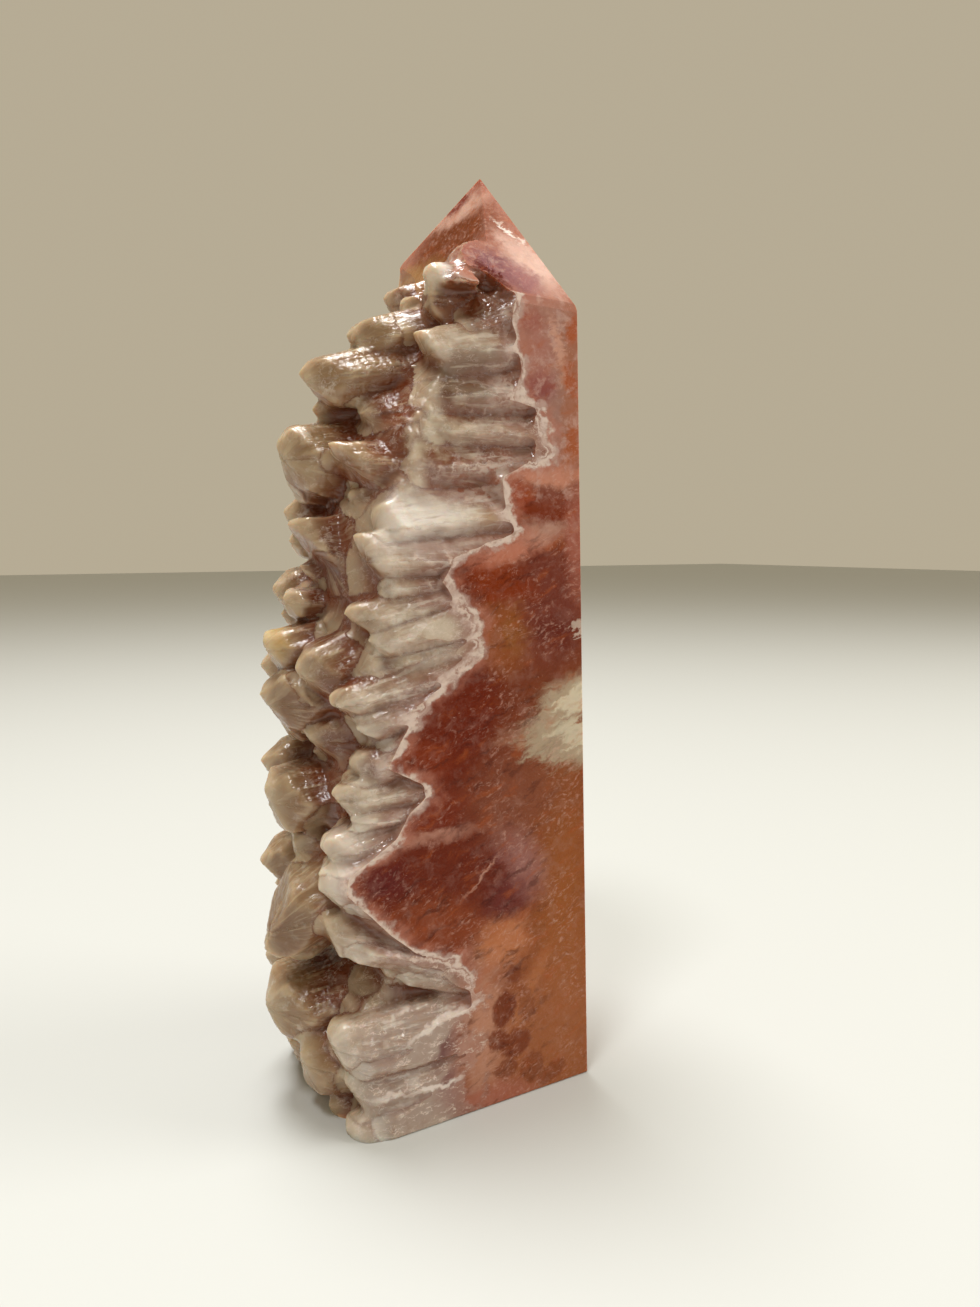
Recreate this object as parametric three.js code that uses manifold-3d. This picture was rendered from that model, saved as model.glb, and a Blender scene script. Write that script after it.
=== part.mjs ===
// Calcite tower: one natural stone. Five sides are sawn and polished (front, right, back, base and
// the four facets of the point); the left side is left as it grew, a druse of blunt dog-tooth
// crystals stacked in tiers. Everything is one solid. Millimetres, +Z up, front towards -Y.
import * as THREE from 'three';
import { ConvexGeometry } from 'three/addons/geometries/ConvexGeometry.js';
import { mergeVertices } from 'three/addons/utils/BufferGeometryUtils.js';
import Module from 'manifold-3d';

// Driving dimensions of the polished stone, measured from the middle of its base.
const BASE_WIDTH = 44; // left to right
const BASE_DEPTH = 40; // front to back
const LEAN = 0.0178; // each upright face leans in by this much for each mm of height
const APEX = [10, 0, 166.2];
const SHOULDER_HEIGHT = { frontRight: 141, frontLeft: 141.4, backRight: 146, backLeft: 154 };
const LEFT_SHOULDER_X = 2; // where the left facet of the point ends, over the druse
const ROOT_X = -19; // foot of the slope that the crystals grow from
const VUG = { at: [3.5, -18, 142.6], size: [6.5, 5.5, 2.6], tilt: -16 }; // open pocket under the point

// Left of this line the sawn front gives way to the druse, which stands a little behind the cut:
// [x, z] from the base up.
const DRUSE_EDGE = [
  [-10, -1], [-4, 9], [-3, 27], [-13, 31], [-22, 39], [-24, 46], [-21, 53], [-11, 59], [-20, 64],
  [-13, 75], [-5, 80], [0, 85], [-5, 94], [-3, 100], [5, 104], [4, 112], [11, 116], [9, 130],
  [5, 136], [4, 143],
];
const DRUSE_SETBACK = 4; // how far behind the front cut the bed of the druse starts

// The bed that the crystals have grown together into: how far left it reaches at each height, as
// [x, z] from the base up.
const BED_OUTLINE = [
  [-21.5, -1], [-24, 12], [-25, 22], [-19, 28], [-25, 35], [-21, 45], [-24, 56], [-21.5, 66],
  [-24.5, 76], [-21, 89], [-19, 98], [-14, 111], [-16, 119], [-11, 127], [-4, 137], [1, 143],
];
const BED_CROWN = 8; // the bed's middle stands this much further left than its front and back
const BED_SLICES = 6;

// Shape shared by the crystals.
const CRYSTAL_SIDES = 8;
const SIDE_TURN = Math.PI / CRYSTAL_SIDES; // puts an edge, not a face, uppermost
const TAIL = 14; // each crystal runs on into the stone by this much, behind its crown

// The crystals, tier by tier from the point down. Each row is
// [tip x, tip y, tip z, run, width, height, bluntness, droop in degrees, yaw in degrees]:
// the run is the crown's length from the tip back, width and height are the crown's where it ends,
// bluntness is the tip's size over that, droop hangs the tip and yaw turns it to the front.
const TIERS = {
  point: [
    [-1, -9.5, 147, 12, 11, 10, 0.75, 12, 8],
    [-6.8, -11.5, 143.4, 9, 8, 7.5, 0.8, 4, 4],
    [-4, 0, 140.5, 10, 11, 7, 0.6, 12, 0],
    [-3.5, 9, 141.5, 10, 13, 8, 0.7, 10, -6],
    [-2, 15, 146, 10, 10, 10, 0.7, 8, -8],
  ],
  brow: [
    [-12.6, -14.8, 130.6, 13, 12, 14, 0.64, 17, 0],
    [-16, 1.5, 134.2, 11, 12, 8, 0.6, 14, 0],
    [-9.5, -5, 137, 10, 11, 8, 0.6, 14, 4],
    [-10.5, 12, 137, 12, 13, 10, 0.6, 12, -8],
  ],
  upper: [
    [-24.2, 2, 127.8, 15, 14, 12, 0.4, 12, 0],
    [-10.6, -14.5, 123, 12, 10, 8, 0.5, 8, 0],
    [-18.5, 12.5, 129, 14, 14, 12, 0.5, 12, -8],
    [-15, -5.5, 127, 12, 12, 10, 0.55, 12, 4],
  ],
  fist: [
    [-27.4, 3.5, 116.8, 13, 17, 16, 0.72, 2, 0],
    [-22.3, -7.5, 116.2, 13, 12, 10, 0.35, 8, 4],
    [-9.8, -14.5, 119, 12, 10, 8, 0.5, 8, 0],
    [-12.6, -14.5, 113.2, 14, 11, 9, 0.5, 5, 0],
    [-15, -4, 122, 12, 10, 7, 0.5, 8, 4],
    [-21, 14, 119, 14, 14, 14, 0.55, 5, -8],
  ],
  shelf: [
    [-19.3, -14.5, 105, 14, 12, 10, 0.74, 5, 0],
    [-22.6, -14.2, 97.6, 13, 11, 12, 0.72, 6, 0],
    [-17.5, -6, 107.6, 13, 11, 7.5, 0.6, 9, 4],
    [-27.6, 1, 102.4, 13, 15, 13, 0.5, 0, 0],
    [-24.8, 2, 96, 12, 14, 12, 0.5, 2, 0],
    [-23.5, 14, 106, 14, 13, 12, 0.6, 4, -8],
  ],
  waist: [
    [-23.8, -14.4, 88.6, 14, 12, 11, 0.36, 14, 0],
    [-20.3, -15.2, 82.2, 13, 11, 11, 0.34, 10, 0],
    [-24.8, 4, 90.4, 11, 12, 9, 0.5, 6, 0],
    [-30.4, 3, 84, 12, 13, 10, 0.7, 10, 0],
    [-22, -7, 87, 12, 12, 12, 0.5, 16, 4],
    [-26, 14, 92, 14, 13, 14, 0.55, 6, -8],
  ],
  belly: [
    [-26.6, -13.5, 75.4, 14, 12, 10, 0.3, 16, 0],
    [-31.4, 2.5, 76, 14, 16, 17, 0.66, 8, 0],
    [-26.6, -6, 76.5, 14, 13, 13, 0.5, 20, 0],
    [-22.6, -14.2, 71.4, 11, 11, 10, 0.65, 12, 0],
    [-28.5, 14, 78, 14, 13, 16, 0.55, 8, -8],
    [-24.2, -14.2, 65.2, 12, 11, 10, 0.5, 12, 0],
    [-26, -3, 67.5, 12, 14, 11, 0.5, 10, 0],
  ],
  block: [
    [-31, 2, 56.4, 12, 16, 15, 0.8, 4, 0],
    [-28.4, -14.5, 60, 14, 11, 9, 0.4, 4, 0],
    [-26.4, 1.5, 47.4, 11, 14, 8, 0.8, 2, 0],
    [-29, 14, 60, 14, 13, 15, 0.6, 6, -8],
    [-25, -7, 54.5, 12, 13, 12, 0.6, 6, 0],
  ],
  ridge: [
    [-29.2, -14.5, 50.6, 15, 12, 10, 0.56, 10, 0],
    [-27.4, -14.8, 46, 10, 9, 7, 0.7, 4, 0],
    [-27.6, -13.5, 40.5, 12, 13, 14, 0.6, 4, 0],
    [-21, -14.8, 32, 11, 10, 7, 0.55, 4, 0],
    [-33.6, 0, 31.4, 20, 18, 22, 0.2, 24, 0],
    [-30, 13.5, 41, 14, 14, 17, 0.5, 12, -8],
  ],
  foot: [
    [-23.4, -14.2, 28, 10, 10, 6, 0.6, 0, 0],
    [-32.4, 3, 19.6, 12, 15, 12, 0.76, 2, 0],
    [-28.8, -14.5, 20.4, 14, 12, 11, 0.66, 0, 0],
    [-28.4, -5, 12.6, 12, 12, 14, 0.62, -4, 0],
    [-29.5, 14, 22, 14, 14, 16, 0.6, 4, -8],
  ],
  base: [
    [-25.8, -14.2, 10.8, 13, 12, 11, 0.62, -4, 0],
    [-24, -16.6, 3.6, 12, 11, 10, 0.66, -4, 0],
    [-27.4, 7, 7, 11, 12, 8, 0.6, 0, 0],
    [-26, 1, 2.4, 10, 11, 8, 0.55, -4, 0],
    [-25.2, -7.5, 1.8, 10, 11, 8, 0.55, -4, 0],
    [-26, 14.5, 5, 12, 13, 14, 0.6, 0, -6],
  ],
};

const STONE_NAME = 'calcite_tower';
const STONE_LOOK = { color: 0xb07a5c, roughness: 0.35, metalness: 0 };

const wasm = await Module();
wasm.setup();

// A closed three.js geometry as a solid: position only, shared vertices, no flat triangles.
function solid(geometry) {
  geometry.deleteAttribute('normal');
  geometry.deleteAttribute('uv');
  const merged = mergeVertices(geometry, 1e-4);
  const corners = merged.index.array;
  const triangles = [];
  for (let i = 0; i < corners.length; i += 3) {
    const [a, b, c] = corners.slice(i, i + 3);
    if (a !== b && b !== c && c !== a) triangles.push(a, b, c);
  }
  return new wasm.Manifold(new wasm.Mesh({
    numProp: 3,
    vertProperties: new Float32Array(merged.attributes.position.array),
    triVerts: new Uint32Array(triangles),
  }));
}

// A point on an upright edge of the stone: side is +1 for right or back, -1 for left or front.
const rightX = (z) => BASE_WIDTH / 2 - LEAN * z;
const faceY = (side, z) => side * (BASE_DEPTH / 2 - LEAN * z);

// The four shoulders of the point, where its facets meet the upright faces.
function shoulders() {
  const height = SHOULDER_HEIGHT;
  return [
    [rightX(height.frontRight), faceY(-1, height.frontRight), height.frontRight],
    [rightX(height.backRight), faceY(1, height.backRight), height.backRight],
    [LEFT_SHOULDER_X, faceY(1, height.backLeft), height.backLeft],
    [LEFT_SHOULDER_X, faceY(-1, height.frontLeft), height.frontLeft],
  ];
}

const convex = (points) => solid(new ConvexGeometry(points.map((p) => new THREE.Vector3(...p))));

// The polished stone without its druse: base, upright faces and point.
function body() {
  return convex([
    APEX,
    ...shoulders(),
    [rightX(0), faceY(-1, 0), 0],
    [rightX(0), faceY(1, 0), 0],
    [ROOT_X, faceY(1, 0), 0],
    [ROOT_X, faceY(-1, 0), 0],
  ]);
}

// All the room inside the saw cuts, open towards the druse: nothing reaches outside it.
function sawnRoom() {
  const reach = -60;
  const [frontRight, backRight, backLeft] = shoulders();
  const [, , frontTop] = frontRight;
  const [, , backTop] = backLeft;
  return convex([
    APEX,
    frontRight,
    backRight,
    backLeft,
    [reach, 0, APEX[2]],
    [reach, faceY(-1, frontTop), frontTop],
    [reach, faceY(1, backTop), backTop],
    [rightX(0), faceY(-1, 0), 0],
    [rightX(0), faceY(1, 0), 0],
    [reach, faceY(1, 0), 0],
    [reach, faceY(-1, 0), 0],
  ]);
}

// An outline of [x, z] points drawn through the stone from front to back.
function slabOf(outline, front, back, slices) {
  const shape = new THREE.Shape(outline.map(([x, z]) => new THREE.Vector2(x, z)));
  const slab = new THREE.ExtrudeGeometry(shape, {
    depth: back - front, steps: slices, bevelEnabled: false,
  });
  slab.rotateX(Math.PI / 2);
  slab.translate(0, back, 0);
  return slab;
}

// The body as it meets the front cut: the room right of the druse's edge, and all behind it.
function cutFront() {
  const top = APEX[2] + 1;
  const reach = BASE_WIDTH;
  const [, edgeTop] = DRUSE_EDGE.at(-1);
  const outline = [...DRUSE_EDGE, [-reach, edgeTop], [-reach, top], [reach, top], [reach, -1]];
  return solid(slabOf(outline, -BASE_DEPTH, BASE_DEPTH, 1));
}

// The bed: its outline drawn through the stone behind the front cut, crowned in the middle.
function bed() {
  const [, bedTop] = BED_OUTLINE.at(-1);
  const inside = rightX(0) / 2;
  const outline = [...BED_OUTLINE, [inside, bedTop], [inside, -1]];
  const slab = slabOf(outline, DRUSE_SETBACK - BASE_DEPTH / 2, BASE_DEPTH / 2, BED_SLICES);
  const at = slab.attributes.position;
  for (let i = 0; i < at.count; i += 1) {
    const offMiddle = (2 * at.getY(i)) / BASE_DEPTH;
    if (at.getX(i) < 0) at.setX(i, at.getX(i) + BED_CROWN * offMiddle ** 2);
  }
  return solid(slab);
}

// One crystal: a blunt tooth turned about its own axis, squeezed, then pointed out to the left.
function crystal([x, y, z, run, width, height, blunt, droop, yaw]) {
  const profile = [
    [0, 0],
    [0.66 * blunt, 0.02 * run],
    [blunt, 0.12 * run],
    [0.45 + 0.55 * blunt, 0.5 * run],
    [1, run],
    [1.05, run + TAIL],
    [0, run + TAIL],
  ];
  const tooth = new THREE.LatheGeometry(profile.map((p) => new THREE.Vector2(...p)), CRYSTAL_SIDES);
  tooth.rotateY(SIDE_TURN);
  tooth.scale(height / 2, 1, width / 2);
  tooth.rotateZ(-Math.PI / 2); // the run now goes along +x and the height along z
  tooth.rotateX(-Math.PI / 2);
  tooth.rotateY(THREE.MathUtils.degToRad(-droop));
  tooth.rotateZ(THREE.MathUtils.degToRad(yaw));
  tooth.translate(x, y, z);
  return solid(tooth);
}

function vug() {
  const pocket = new THREE.IcosahedronGeometry(1, 2);
  pocket.scale(...VUG.size);
  pocket.rotateY(THREE.MathUtils.degToRad(VUG.tilt));
  pocket.translate(...VUG.at);
  return solid(pocket);
}

// The whole stone, standing with the middle of its bounding box over the origin.
function stone() {
  const druse = Object.values(TIERS).flat().map(crystal);
  const rough = body().intersect(cutFront()).add(bed()).subtract(vug());
  const grown = druse.reduce((whole, tooth) => whole.add(tooth), rough);
  const mesh = grown.intersect(sawnRoom()).getMesh();
  const geometry = new THREE.BufferGeometry();
  geometry.setAttribute('position', new THREE.BufferAttribute(mesh.vertProperties, 3));
  geometry.setIndex(new THREE.BufferAttribute(mesh.triVerts, 1));
  geometry.computeBoundingBox();
  const middle = geometry.boundingBox.getCenter(new THREE.Vector3());
  geometry.translate(-middle.x, -middle.y, 0);
  geometry.computeVertexNormals();
  return geometry;
}

const part = new THREE.Group();
const tower = new THREE.Mesh(stone(), new THREE.MeshStandardMaterial(STONE_LOOK));
tower.name = STONE_NAME;
part.add(tower);

export default part;
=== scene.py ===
"""Calcite tower: one stone, sawn and polished but for its left side, which is a druse of crystals."""
import math
import random

import bmesh
import bpy
import numpy as np
from mathutils import Matrix, Vector, noise


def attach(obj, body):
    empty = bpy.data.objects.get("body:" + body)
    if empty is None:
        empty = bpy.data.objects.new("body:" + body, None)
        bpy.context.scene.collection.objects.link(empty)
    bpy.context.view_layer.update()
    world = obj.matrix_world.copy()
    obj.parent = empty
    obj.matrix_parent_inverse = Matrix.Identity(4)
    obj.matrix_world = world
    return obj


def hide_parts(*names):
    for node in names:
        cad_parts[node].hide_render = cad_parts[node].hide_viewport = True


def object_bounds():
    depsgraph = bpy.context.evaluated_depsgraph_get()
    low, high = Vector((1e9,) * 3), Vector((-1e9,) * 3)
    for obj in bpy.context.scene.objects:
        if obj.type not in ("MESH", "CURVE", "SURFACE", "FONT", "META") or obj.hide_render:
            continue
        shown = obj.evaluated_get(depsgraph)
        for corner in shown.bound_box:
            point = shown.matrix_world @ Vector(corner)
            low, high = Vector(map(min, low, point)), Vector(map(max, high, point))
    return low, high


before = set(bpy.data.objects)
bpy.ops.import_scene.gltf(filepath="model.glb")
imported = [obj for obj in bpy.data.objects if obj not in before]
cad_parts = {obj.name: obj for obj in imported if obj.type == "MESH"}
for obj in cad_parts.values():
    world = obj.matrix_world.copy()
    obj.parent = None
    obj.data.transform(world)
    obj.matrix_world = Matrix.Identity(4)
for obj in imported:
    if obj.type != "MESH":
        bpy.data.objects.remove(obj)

CAD_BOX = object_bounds()
LOW, HIGH = (Vector(corner) for corner in CAD_BOX)

# The stone is worked out in millimetres about the middle of its base, x to the right, y to the
# back and z up, and is brought into the frame at the end.
MM = 0.001
BASE_WIDTH = 44.0
BASE_DEPTH = 40.0
LEAN = 0.0178  # how far each upright face leans in for each mm of height
APEX = Vector((10.0, 0.0, 166.2))
SHOULDER_HEIGHT = {"front_right": 141.0, "front_left": 141.4, "back_right": 146.0, "back_left": 154.0}
LEFT_SHOULDER_X = 2.0
ROOT_X = -19.0  # foot of the slope that the crystals grow from
FRAME_SHIFT = Vector((HIGH.x - BASE_WIDTH / 2 * MM, (LOW.y + HIGH.y) / 2, LOW.z))

# Left of this line the sawn front gives way to the druse: (x, z) from the base up.
DRUSE_EDGE = [
    (-3, -6), (-3.5, 6), (-3, 14), (-2, 20), (-2.5, 24), (-4, 27), (-6, 29), (-13, 32), (-17.5, 36),
    (-21, 40), (-24.8, 44), (-24.5, 47), (-21, 49), (-16, 52), (-13.5, 56), (-10, 58.5), (-11, 60.5),
    (-17.3, 64), (-15, 68), (-13, 71), (-10, 74.5), (-5.5, 77.5), (-2, 79.5), (0, 82), (-0.8, 84.5),
    (0, 87), (-1.5, 89), (-4.5, 91), (-6.8, 94), (-5.5, 96), (-3, 98), (0.5, 99.5), (6, 100.8),
    (7.5, 102.5), (6, 105), (5.3, 108), (5, 111.5), (8, 112.8), (14, 114), (15, 117), (14.5, 121),
    (12, 123.5), (9, 125), (8, 127), (9, 129), (8.3, 134), (7, 137), (7.5, 140), (9, 142.6),
]
# How the druse falls away behind the front cut: (how far left of the edge, how deep).
FALL_AWAY = [(0.8, 0.0), (1.6, 0.5), (3.0, 1.6), (5.5, 3.2), (9.0, 5.2)]
RECESS_SPARE = 8.0  # how far before the sawn front it starts
PLATE_SPARE = 4.0
CLEAR_LEFT_X = -60.0
PLATE_SHARE = 0.4
PLATE_DEPTH = 8.0
BED_OUTLINE = [
    (-21.5, -6), (-24, 12), (-25, 22), (-19, 28), (-25, 35), (-21, 45), (-24, 56), (-21.5, 66),
    (-24.5, 76), (-21, 89), (-21, 98), (-19, 107), (-16, 113), (-16, 119), (-11, 127), (-4, 137), (1, 143),
]
BED_CROWN = 8.0
BED_START = FALL_AWAY[-1][1] - BASE_DEPTH / 2
LOBES = [
    {"at": (4.5, -9.5, 145.5), "size": (6.6, 8.0, 6.2), "tilt": -25},
    {"at": (0.0, -11.0, 141.2), "size": (6.8, 7.2, 5.0), "tilt": 10},
]
POCKET = {"at": (2.4, -17.8, 143.6), "size": (5.0, 5.4, 1.8), "tilt": -42}

FRONT_ROW_Y = -11.0  # the sawn front cuts through crystals whose tips are this near to it
POINT_FOOT = 140.0
FRONT_STRETCH = 1.22  # those of them below the point are this much taller than their rows say

# Each crystal: tip x, tip y, tip z, run, width, height, bluntness, droop, yaw and lift. Lift is 1
# where the top edge runs straight out to the tip and the underside rises to it, and -1 the other
# way up.
CRYSTALS = [
    # point
    (-6.8, -11.2, 144.6, 6, 5.4, 4.8, 0.85, 10, 0, 0.3),
    (-6.5, -1, 141.5, 10, 12, 8, 0.7, 12, 0, 0.5),
    (-5, 9, 145, 10, 13, 8, 0.7, 14, -4, 0.5),
    # brow
    (-9.6, -12, 135.2, 13, 10, 9.5, 0.7, 13, -2, 0.9),
    (-2.2, -12.6, 137.6, 12, 9, 7, 0.6, 22, -2, 0.9),
    (-16.2, -0.5, 135.6, 13, 17, 10, 0.6, 14, 0, 0.4),
    (-9.5, -5, 137, 10, 11, 8, 0.6, 14, 4, 0.4),
    (-10.5, 12, 137, 12, 13, 10, 0.6, 12, -8, 0.4),
    # upper
    (-24.6, 0.5, 128.6, 16, 18, 12, 0.5, 14, 0, 0.4),
    (-7.6, -12.2, 126.2, 12, 10, 7.5, 0.5, 8, -2, 0.6),
    (-18.5, 12.5, 129, 14, 14, 12, 0.5, 12, -8, 0.4),
    # fist
    (-27.8, 3.5, 117, 13, 17, 16, 0.8, 4, 0, 0.4),
    (-23.2, -7.5, 117.2, 16, 13, 11, 0.5, 4, 4, 0.9),
    (-7.3, -12.3, 120.2, 13, 10, 6.5, 0.55, 3, -2, 0.5),
    (-10.5, -11.8, 114, 15, 11, 7.5, 0.6, 6, -2, 0.4),
    (-16.5, -5, 122.6, 14, 14, 10, 0.5, 8, 4, 0.3),
    (-21, 14, 119, 14, 14, 14, 0.55, 5, -8, 0.4),
    # shelf
    (-17.2, -11.9, 104.7, 16, 11, 9, 0.85, 8, -2, 0.5),
    (-20.7, -12, 102.4, 16, 11, 10.5, 0.75, 6, -2, 1),
    (-18.8, -6, 108.5, 13, 11, 7, 0.6, 9, 4, 0.5),
    (-28.4, 1, 105.2, 13, 15, 16, 0.5, 3, 0, 1),
    (-19.5, 2, 95, 12, 14, 11, 0.5, 2, 0, 0.3),
    (-23.5, 14, 106, 14, 13, 12, 0.6, 4, -8, 0.4),
    # waist
    (-22.1, -12.2, 89, 17, 11, 9, 0.5, 16, -2, 0.5),
    (-18.6, -12.4, 81.4, 17, 11, 9, 0.45, 15, -2, 0.5),
    (-27.2, 4, 90.8, 11, 10, 6, 0.75, 4, 0, 0.4),
    (-31.4, 3, 83.4, 12, 13, 9, 0.75, 10, 0, 0.4),
    (-22, -2, 87, 12, 12, 12, 0.5, 16, 4, 0.4),
    (-26, 14, 92, 14, 13, 14, 0.55, 6, -8, 0.4),
    # belly
    (-25.4, -12.5, 75, 15, 11, 8, 0.4, 18, -2, 0.5),
    (-32.2, 2.5, 74.5, 18, 18, 16, 0.66, 8, 0, 0.4),
    (-28.6, -6, 79.5, 16, 14, 14, 0.6, 20, 0, 0.4),
    (-21.5, -13.1, 71.8, 12, 10, 8, 0.7, 20, -2, 0.5),
    (-28.5, 14, 78, 14, 13, 16, 0.55, 8, -8, 0.4),
    (-22.4, -13.3, 64.2, 12, 10, 8, 0.65, 18, -2, 0.5),
    (-26, -3, 67.5, 12, 14, 11, 0.5, 10, 0, 0.4),
    # block
    (-32, 2, 57.6, 13, 16, 14, 0.85, 6, 0, 0.4),
    (-25.5, -13.3, 59.8, 16, 10, 7.5, 0.5, 6, -2, 0.5),
    (-27.4, 1.5, 47.6, 11, 14, 8, 0.8, 2, 0, 0.4),
    (-29, 14, 60, 14, 13, 15, 0.6, 6, -8, 0.4),
    (-25, -2, 54.5, 12, 13, 12, 0.6, 6, 0, 0.4),
    # ridge
    (-27.5, -12.9, 50.9, 17, 11, 8, 0.7, 17, -2, 0.5),
    (-27.4, -14.2, 45.2, 11, 9, 6, 0.75, 6, -2, 0.5),
    (-27, -12.6, 37.8, 14, 12, 8, 0.6, -14, -2, 0.4),
    (-18.4, -13.3, 31.5, 12, 11, 6, 0.6, -16, -2, 0.5),
    (-9.2, -13.9, 28, 9, 10, 4.5, 0.6, -10, -2, 0.5),
    (-34.8, -4, 31.4, 20, 18, 16, 0.55, 24, 0, -0.4),
    (-30, 13.5, 41, 14, 14, 17, 0.5, 12, -8, 0.4),
    # foot
    (-20.2, -9.5, 24.8, 12, 9, 6, 0.6, -4, 0, 0.4),
    (-33.4, 1, 19.5, 16, 20, 15, 0.85, 4, 0, 0.2),
    (-27.5, -13.8, 18.9, 15, 12, 10.2, 0.75, 2, -2, 0.5),
    (-10.6, -15.1, 20.2, 9, 8, 4.5, 0.6, 6, -2, 0.5),
    (-29.8, -6.5, 12.4, 14, 13, 15, 0.75, -4, 0, 0.3),
    (-29.5, 14, 22, 14, 14, 16, 0.6, 4, -8, 0.4),
    # base
    (-24.5, -13.9, 9.4, 14, 12, 10.7, 0.75, 8, -2, 0.5),
    (-24.8, -14.6, 1.2, 14, 11, 10.7, 0.75, 6, -2, 0.5),
    (-27.4, 7, 7, 11, 12, 8, 0.6, 0, 0, 0.4),
    (-26, 1, 2.4, 10, 11, 8, 0.55, -4, 0, 0.4),
    (-25.2, -7.5, 1.8, 10, 11, 8, 0.55, -4, 0, 0.4),
    (-26, 14.5, 5, 12, 13, 14, 0.6, 0, -6, 0.4),
]
# The lesser crystals beside a large one: (how far below it, over its height; towards front or back).
BOTH_SIDES = ((0.34, -1), (-0.22, 1))
BACK_SIDE = ((0.3, 1),)
PAIRED_Y = -9.0  # a crystal in front of this and under that height has one on both sides
PAIRED_BELOW = 110.0
BARE_FROM = 138.0  # from this height up they have none
SIDES = 6
TAIL = 12.0
WORN = 0.6  # what growing together wears off a tip
SPARE_TIP = 3.0
SMALL_RUN = 11
SMALL_ROWS_Y = (7, 18, 6.5)  # the small crystals stand in rows: from, to and step
SMALL_ROWS_Z = (7, 138, 10.5)
VOXEL = 0.4
TRIANGLES = 180000
ROUNDED = [(-10, 200, 7), (-10, 28, 8), (108, 134, 9)]  # from this height to that, in so many steps
ROUNDED_FADE = 3.0
FAR_OUT = 9.0  # off every crystal, in radii
CREASE_WIDTH = 0.5  # in radii of a crystal
GROOVE_SHADE_KEPT = 0.5  # how much of the painted shade in the hollows is kept in the grooves in front
MEAN_STEPS = (50, 150)
FLATTENED = 0.35  # skin this near to the left facet is polished flat
LEVEL = 0.25
LEVEL_COSINE = 0.97
rng = random.Random(20)


# ---- small tools

def as_object(name, bm):
    """The finished bmesh as an object of that name, in the scene."""
    mesh = bpy.data.meshes.new(name)
    bm.to_mesh(mesh)
    bm.free()
    made = bpy.data.objects.new(name, mesh)
    bpy.context.scene.collection.objects.link(made)
    return made


def add_to(bm_into, bm):
    """Adds one bmesh to another and frees it."""
    mesh = bpy.data.meshes.new("part")
    bm.to_mesh(mesh)
    bm.free()
    bm_into.from_mesh(mesh)
    bpy.data.meshes.remove(mesh)


def settle(piece):
    """Applies a piece's modifiers to its mesh."""
    depsgraph = bpy.context.evaluated_depsgraph_get()
    mesh = bpy.data.meshes.new_from_object(piece.evaluated_get(depsgraph))
    old = piece.data
    piece.modifiers.clear()
    piece.data = mesh
    bpy.data.meshes.remove(old)


def combine(piece, tool, operation):
    """Joins a tool's shape to a piece, or cuts it away, and drops the tool."""
    cut = piece.modifiers.new("combine", "BOOLEAN")
    cut.operation = operation
    cut.solver = "EXACT"
    cut.object = tool
    settle(piece)
    bpy.data.objects.remove(tool)


def saw(bm, point, normal, polished=None):
    """Saws a closed bmesh along a plane, drops what is outside it and closes the cut."""
    geom = bm.verts[:] + bm.edges[:] + bm.faces[:]
    cut = bmesh.ops.bisect_plane(
        bm, geom=geom, dist=1e-4, plane_co=point, plane_no=normal, clear_outer=True)
    rim = [g for g in cut["geom_cut"] if isinstance(g, bmesh.types.BMEdge) and g.is_boundary]
    filled = bmesh.ops.triangle_fill(bm, edges=rim, use_beauty=True, normal=normal)
    if polished is None:
        return
    for edge in rim:
        edge.smooth = False
    for face in filled["geom"]:
        if isinstance(face, bmesh.types.BMFace):
            face.material_index = polished
            face.smooth = False


# ---- the stone's planes

def right_x(z):
    return BASE_WIDTH / 2 - LEAN * z


def face_y(side, z):
    return side * (BASE_DEPTH / 2 - LEAN * z)


def shoulders():
    """The four corners where the upright edges meet the point."""
    corner = {}
    for name, z in SHOULDER_HEIGHT.items():
        x = right_x(z) if "right" in name else LEFT_SHOULDER_X
        corner[name] = Vector((x, face_y(-1 if "front" in name else 1, z), z))
    return corner


def facet(a, b):
    """A facet of the point through the apex and two shoulders: a point on it, its outward normal."""
    corner = shoulders()
    normal = (corner[a] - APEX).cross(corner[b] - APEX).normalized()
    if normal.z < 0:
        normal.negate()
    return APEX, normal


PLANES = {
    "front": (Vector((0, -BASE_DEPTH / 2, 0)), Vector((0, -1, LEAN)).normalized()),
    "back": (Vector((0, BASE_DEPTH / 2, 0)), Vector((0, 1, LEAN)).normalized()),
    "right": (Vector((BASE_WIDTH / 2, 0, 0)), Vector((1, 0, LEAN)).normalized()),
    "base": (Vector((0, 0, 0)), Vector((0, 0, -1))),
    "front_facet": facet("front_left", "front_right"),
    "right_facet": facet("front_right", "back_right"),
    "back_facet": facet("back_right", "back_left"),
}
LEFT_FACET = facet("back_left", "front_left")
EASED_EDGES = [
    ("front", "right", 0.2), ("back", "right", 0.2), ("front", "base", 0.2), ("back", "base", 0.2),
    ("right", "base", 0.2), ("front", "front_facet", 0.25), ("right", "right_facet", 0.25),
    ("back", "back_facet", 0.25), ("front_facet", "right_facet", 0.2), ("right_facet", "back_facet", 0.2),
]  # and how deep the polisher has eased each one


# ---- the rough stone

def block():
    """The solid stone with some to spare on every sawn side, and its left facet already true."""
    spare = 4.0
    bm = bmesh.new()
    size = Vector((BASE_WIDTH + 2 * spare, BASE_DEPTH + 2 * spare, APEX.z + 2 * spare))
    place = Matrix.Translation((0, 0, APEX.z / 2)) @ Matrix.Diagonal(size).to_4x4()
    bmesh.ops.create_cube(bm, size=1, matrix=place)
    slope = (shoulders()["back_left"] - Vector((ROOT_X, BASE_DEPTH / 2, 0))).cross(Vector((0, 1, 0)))
    if slope.x > 0:
        slope.negate()
    saw(bm, *LEFT_FACET)
    saw(bm, Vector((ROOT_X, 0, 0)), slope.normalized())
    bmesh.ops.recalc_face_normals(bm, faces=bm.faces)
    return as_object("block", bm)


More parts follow.
